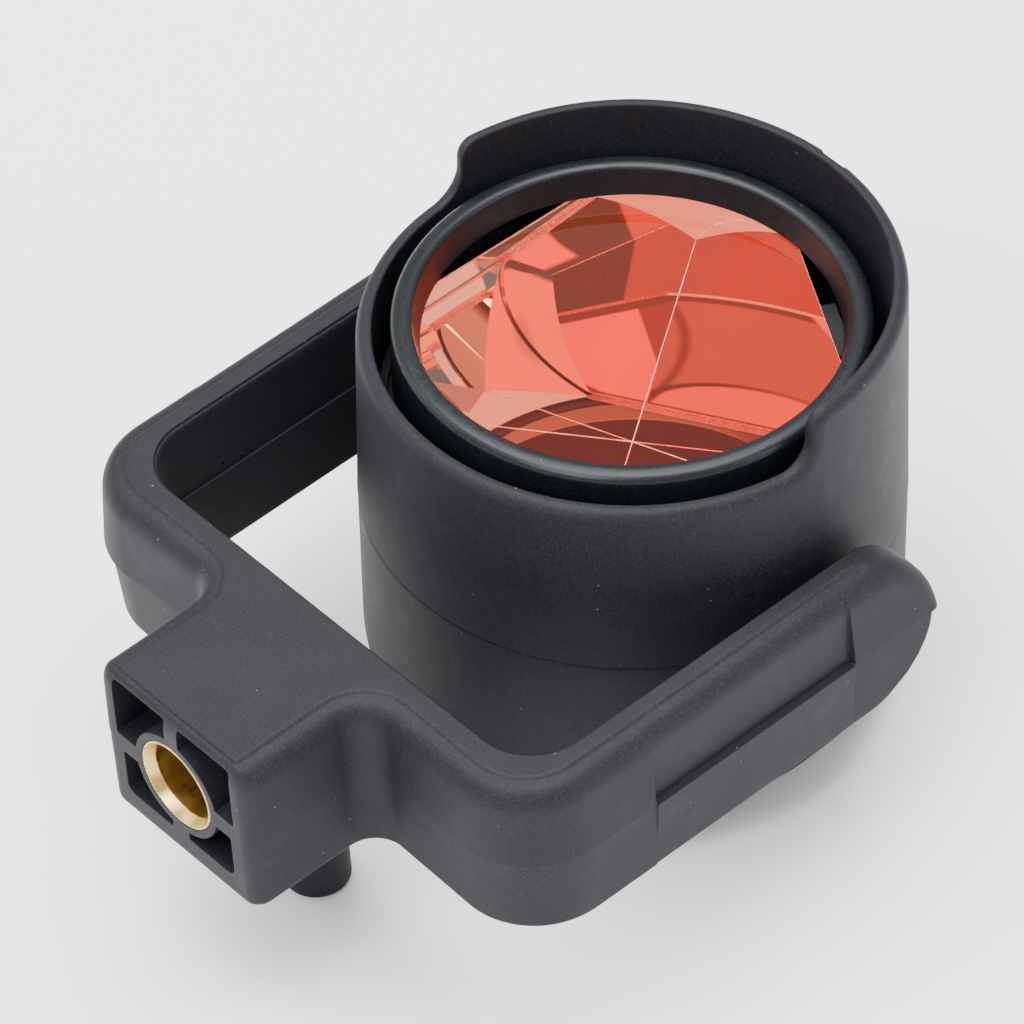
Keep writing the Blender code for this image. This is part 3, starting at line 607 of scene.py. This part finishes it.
def rim_path():
    """The rim once round from the stem side, as (angle or side, level y, y, z, normal y, normal z)."""
    foot = []
    steps = 12
    centre = (HOOD_END_Y - HOOD_FOOT_R, RIM_LOW + HOOD_FOOT_R)
    for i in range(steps + 1):
        a = math.radians(-90 + 90 * i / steps)
        y, z = centre[0] + HOOD_FOOT_R * math.cos(a), centre[1] + HOOD_FOOT_R * math.sin(a)
        foot.append((y, z, -math.cos(a), -math.sin(a)))
    centre = (HOOD_END_Y + HOOD_TOP_R, RIM_HIGH - HOOD_TOP_R)
    for i in range(steps + 1):
        a = math.radians(180 - 90 * i / steps)
        y, z = centre[0] + HOOD_TOP_R * math.cos(a), centre[1] + HOOD_TOP_R * math.sin(a)
        foot.append((y, z, math.cos(a), math.sin(a)))
    low_y, high_y = foot[0][0], foot[-1][0]
    rising = []
    for i, (y, z, ny, nz) in enumerate(foot):
        late = (i - steps - 1) / steps
        if late < 0:
            level_y = y - EDGE_DROP * ny
        else:
            level_y = HOOD_TOP_FROM_Y + (high_y - HOOD_TOP_FROM_Y) * late
        rising.append((level_y, y, z, ny, nz))
    columns = []
    start = math.degrees(math.asin(low_y / SEAM_R))
    top = math.degrees(math.asin(high_y / SEAM_R))
    for i in range(56):
        columns.append((-90 + (start + 90) * i / 56, None, None, RIM_LOW, 0.0, 1.0))
    columns += [("right", *item) for item in rising]
    for i in range(1, 110):
        columns.append((top + (180 - 2 * top) * i / 110, None, None, RIM_HIGH, 0.0, 1.0))
    columns += [("left", *item) for item in reversed(rising)]
    for i in range(1, 56):
        columns.append((180 - start + (90 + start) * i / 56, None, None, RIM_LOW, 0.0, 1.0))
    return columns


def angle_at(side, y, radius):
    a = math.asin(max(-1.0, min(1.0, y / radius)))
    return a if side == "right" else math.pi - a


def housing_body():
    outer_edge = [(0.0, EDGE_DROP), (0.03, 1.5), (0.13, 1.1), (0.3, 0.72)]
    outer_edge += [(0.54, 0.4), (0.85, 0.16), (1.2, 0.03), (1.45, 0.0)]
    below = [(31.8, BACK_Z)] + list(BACK_EDGE)
    below += [(wall_radius(z), z) for z in (-24.5, -20.0, -16.0, -8.0, -1.2)]
    below += [(wall_radius(-0.3), -0.3), (wall_radius(0) - 0.1, -0.1), (wall_radius(0) - 0.1, 0.08)]
    below += [(wall_radius(0) + 0.04, 0.22), (wall_radius(1) + 0.03, 1.0)]
    below += [(wall_radius(z), z) for z in (8.0, 16.0, 25.0)]
    inside = [(36.72, 26.0), (36.7, 24.0), (36.6, 12.0), (34.2, 12.0), (34.2, 9.2), (36.6, 6.8)]
    inside += [(36.6, -25.0), (30.4, -28.6), (30.4, BACK_Z + 3.4), (31.8, BACK_Z + 3.4)]
    bm = bmesh.new()
    columns = []
    for head, level_y, y, z, ny, nz in rim_path():
        a = math.radians(head) if level_y is None else angle_at(head, level_y, SEAM_R)
        verts = [(r * math.cos(a), r * math.sin(a), h) for r, h in below]
        strip = [(wall_radius(z) - step_in, drop) for step_in, drop in outer_edge]
        strip += [(RIM_INNER_R + 0.4, 0.0), (RIM_INNER_R + 0.2, 0.06)]
        strip += [(RIM_INNER_R + 0.06, 0.2), (RIM_INNER_R, 0.42), (RIM_INNER_R, 1.4)]
        for radius, drop in strip:
            b = a if level_y is None else angle_at(head, y - drop * ny, radius)
            verts.append((radius * math.cos(b), radius * math.sin(b), z - drop * nz))
        verts += [(r * math.cos(a), r * math.sin(a), h) for r, h in inside]
        columns.append([bm.verts.new(v) for v in verts])
    rows = len(columns[0])
    for k in range(len(columns)):
        here, there = columns[k], columns[(k + 1) % len(columns)]
        for i in range(rows):
            j = (i + 1) % rows
            bm.faces.new((here[i], there[i], there[j], here[j]))
    bm.transform(Matrix.Rotation(math.radians(HOOD_TURN), 4, "Z"))
    return bm


def build_housing(mat):
    far = wall_radius(RIM_HIGH) - 1.15
    notch = rounded([(-2.2, far, 0.4), (3.4, far, 0.4), (2.8, far + 4, 0), (-1.6, far + 4, 0)])
    cutters = [(prismatic(notch, RIM_HIGH - 1.9, RIM_HIGH + 3), None, "DIFFERENCE")]
    for turn in (ALONG_X, ALONG_MINUS_X):
        boss = [(0, 37.4), (8.0, 37.4), (8.0, 40.3), (7.91, 40.51), (7.7, 40.6), (0, 40.6)]
        cutters.append((revolve(boss, 96), turn, "UNION"))
        hole = [(0, 33.5), (5.2, 33.5), (5.2, 36.8), (3.2, 36.8), (3.2, 43), (0, 43)]
        cutters.append((revolve(hole, 64), turn, "DIFFERENCE"))
    shell = housing_body()
    make("housing_shell", shell, [mat], "prism_unit", ["housing"], cutters=cutters)


def build_front_ring(mat):
    profile = [(30.0, 27.2), (30.02, 27.32), (30.1, 27.5), (30.55, 29.3), (30.98, 31.0), (31.08, 31.25)]
    profile += [(31.25, 31.45), (31.55, 31.6), (31.95, 31.68), (32.5, 31.68), (33.0, 31.58)]
    profile += arc((32.9, 30.28), 1.3, 72, 0, 9)
    profile += [(34.2, 26.0), (34.2, 20.6), (34.1, 20.3), (33.9, 20.2), (32.7, 20.2), (32.7, 27.75)]
    profile += [(30.3, 27.75), (30.2, 27.2)]
    make("bezel", revolve(profile, 240), [mat], "prism_unit", ["front_ring"])


# ------------------------------------------------------------------ prism


GLASS_R, GLASS_FRONT, GLASS_DEPTH, GLASS_FLAT, EDGE_AZIMUTH = 31.6, 26.95, 39.7, 27.5, 0.8
GLASS_BEVEL, EDGE_CUT = 0.4, 0.075


def facet_normal(azimuth):
    a = math.radians(azimuth)
    return Vector((math.cos(a) * math.sqrt(2 / 3), math.sin(a) * math.sqrt(2 / 3), -math.sqrt(1 / 3)))


def build_prism(glass, copper, land, coated):
    """A round glass blank cut by three facets square to each other. Narrow lands take the sharp edges off."""
    front = GLASS_FRONT
    apex = Vector((0, 0, front - GLASS_DEPTH))
    blank = [(0, -30), (GLASS_R, -30), (GLASS_R, front - GLASS_BEVEL), (GLASS_R - GLASS_BEVEL, front)]
    bm = revolve(blank + [(0, front)], 240)
    planes = [(facet_normal(EDGE_AZIMUTH + 60 + 120 * i), apex, 1) for i in range(3)]
    for i in range(3):
        a = math.radians(EDGE_AZIMUTH + 60 + 120 * i)
        across = Vector((math.cos(a), math.sin(a), 0.0))
        planes.append((across, across * GLASS_FLAT, 2))
        a = math.radians(EDGE_AZIMUTH + 120 * i)
        out = Vector((math.cos(a) * math.sqrt(1 / 3), math.sin(a) * math.sqrt(1 / 3), -math.sqrt(2 / 3)))
        planes.append((out, apex - out * EDGE_CUT, 2))
    for normal, point, _ in planes:
        whole = list(bm.verts) + list(bm.edges) + list(bm.faces)
        done = bmesh.ops.bisect_plane(bm, geom=whole, plane_co=point, plane_no=normal, clear_outer=True)
        loop = [e for e in done["geom_cut"] if isinstance(e, bmesh.types.BMEdge)]
        bmesh.ops.contextual_create(bm, geom=loop)
    bmesh.ops.remove_doubles(bm, verts=bm.verts, dist=0.0005)
    bmesh.ops.recalc_face_normals(bm, faces=bm.faces)
    for face in bm.faces:
        face.material_index = 0 if face.normal.z > 0.5 else 3
        for normal, point, index in planes:
            away = abs((face.calc_center_median() - point).dot(normal))
            if face.normal.dot(normal) > 0.9999 and away < 0.01:
                face.material_index = index
    mats = [glass, copper, land, coated]
    obj = make("corner_cube", bm, mats, "prism_unit", ["prism"], sharp=12)
    for polygon in obj.data.polygons:
        polygon.use_smooth = polygon.material_index == 3


# ------------------------------------------------------------------ finishes for the CAD pieces


def dress(names, mat):
    for name in names:
        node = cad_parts[name]
        node.data.materials.clear()
        node.data.materials.append(mat)


def build_object():
    blue_black = (0.0066, 0.0069, 0.0094)
    charcoal = plastic("charcoal_plastic", blue_black, 0.6, specular=0.2)
    shell = plastic("housing_charcoal", blue_black, 0.6, specular=0.2)
    black = (0.004, 0.005, 0.0062)
    bezel = plastic("bezel_black", black, 0.34, grain=0.3, edge=0.15, specks=0.6, specular=0.26)
    brass = metal("turned_brass", (0.67, 0.46, 0.16), 0.3, rings_along="Y")
    steel = metal("stamped_steel", (0.62, 0.62, 0.63), 0.34)
    rubber = plastic("soft_rubber", (0.02, 0.02, 0.02), 0.8, grain=0.3, specks=0.2)
    fibre = plastic("fibre_washer", (0.12, 0.10, 0.08), 0.75, grain=0.8, specks=0.0)
    build_yoke(charcoal)
    build_ejector_marks(charcoal)
    build_bush(brass)
    build_button(charcoal)
    build_housing(shell)
    build_front_ring(bezel)
    glass = prism_glass("polished_glass")
    copper = mirror("copper_facets", (0.98, 0.42, 0.26))
    coated = mirror("coated_side", (0.95, 0.9, 0.88))
    land = plastic("edge_land", (0.9, 0.4, 0.3), 0.7, grain=0.1, specks=0.0)
    build_prism(glass, copper, land, coated)
    dress(["back_cover"], shell)
    dress(["prism_can"], bezel)
    dress(["front_seal", "prism_pad_1", "prism_pad_2", "prism_pad_3"], rubber)
    sides = ("left", "right")
    dress([f"friction_washer_{s}" for s in sides], fibre)
    dress([f"pivot_insert_{s}" for s in sides], brass)
    dress([f"pivot_screw_{s}" for s in sides] + [f"spring_washer_{s}" for s in sides], steel)
    dress(["latch_plate", "latch_pin", "latch_spring"], steel)
    dress(["snap_ring"], metal("blackened_steel", (0.022, 0.022, 0.024), 0.5))


# ------------------------------------------------------------------ studio


def build_floor():
    mat, n = new_material("studio_floor")
    mm = millimetres(n)
    tint = n.mix(n.noise(mm, 0.01, 2.0, 0.5), (0.90, 0.90, 0.90), (0.92, 0.92, 0.92))
    inputs = {"Base Color": tint, "Roughness": 0.9, "Specular IOR Level": 0.1}
    shader = n.add("ShaderNodeBsdfPrincipled", inputs)
    n.add("ShaderNodeOutputMaterial", {"Surface": shader.outputs["BSDF"]})
    bm = bmesh.new()
    bmesh.ops.create_circle(bm, cap_ends=True, radius=6.0, segments=96)
    mesh = bpy.data.meshes.new("floor")
    bm.to_mesh(mesh)
    bm.free()
    mesh.materials.append(mat)
    floor = bpy.data.objects.new("floor", mesh)
    floor.location.z = -0.0002
    bpy.context.scene.collection.objects.link(floor)


def build_world(strength):
    """A light tent: white all round and brighter overhead, with a dark opening where the main camera stands.

    The side that the front glass mirrors to the main camera is dimmed, so that the glass isn't veiled.
    """
    world = bpy.data.worlds.new("tent")
    world.use_nodes = True
    bpy.context.scene.world = world
    n = Nodes(world.node_tree)
    way = n.add("ShaderNodeTexCoord").outputs["Generated"]
    up = n.add("ShaderNodeSeparateXYZ", {0: way}).outputs["Z"]
    lift = n.remap(up, -0.1, 0.9, 0.0, 1.0)
    tint = n.mix(lift, (0.62, 0.63, 0.65), (1.0, 1.0, 1.0))
    toward = n.add("ShaderNodeVectorMath", {0: way, 1: -CAMERA_AHEAD}, operation="DOT_PRODUCT")
    tint = n.mix(n.remap(toward.outputs["Value"], 0.955, 0.985, 0.0, 1.0), tint, (0.035, 0.035, 0.035))
    mirrored = CAMERA_AHEAD * Vector((1.0, 1.0, -1.0))
    across = n.add("ShaderNodeVectorMath", {0: way, 1: mirrored}, operation="DOT_PRODUCT")
    tint = n.mix(n.remap(across.outputs["Value"], 0.86, 0.96, 0.0, 1.0), tint, (0.5, 0.5, 0.5))
    shade = n.add("ShaderNodeBackground", {"Color": tint, "Strength": strength})
    n.add("ShaderNodeOutputWorld", {"Surface": shade.outputs["Background"]})


def area(name, place, size, power):
    """A square light, in metres and watts, turned to the middle of the object."""
    data = bpy.data.lights.new(name, "AREA")
    data.shape = "RECTANGLE"
    data.size, data.size_y = size, size
    data.energy = power
    light = bpy.data.objects.new(name, data)
    light.location = place
    target = Vector((0.0, 0.0, 0.03))
    light.rotation_euler = (target - Vector(place)).to_track_quat("-Z", "Y").to_euler()
    bpy.context.scene.collection.objects.link(light)


def build_camera():
    """A long lens, standing where the photograph was taken from."""
    data = bpy.data.cameras.new("camera")
    data.lens = 288.27
    data.sensor_width = 36.0
    data.clip_end = 50.0
    camera = bpy.data.objects.new("camera", data)
    turn = Matrix((CAMERA_RIGHT, CAMERA_UP, -CAMERA_AHEAD)).transposed()
    stand = (CAMERA_PLACE + Vector((0.0, AXIS_Y, AXIS_Z))) * MM
    camera.matrix_world = Matrix.Translation(stand) @ turn.to_4x4()
    bpy.context.scene.collection.objects.link(camera)
    bpy.context.scene.camera = camera


build_object()
build_floor()
build_world(1.25)
area("overhead", (-0.2, 0.1, 1.5), 1.4, 66.0)
area("front_top", (0.35, -1.0, 1.15), 0.7, 19.0)
area("left_fill", (-1.3, -0.9, 0.9), 1.0, 9.0)
area("right_fill", (1.2, 0.6, 0.7), 0.8, 6.0)
build_camera()
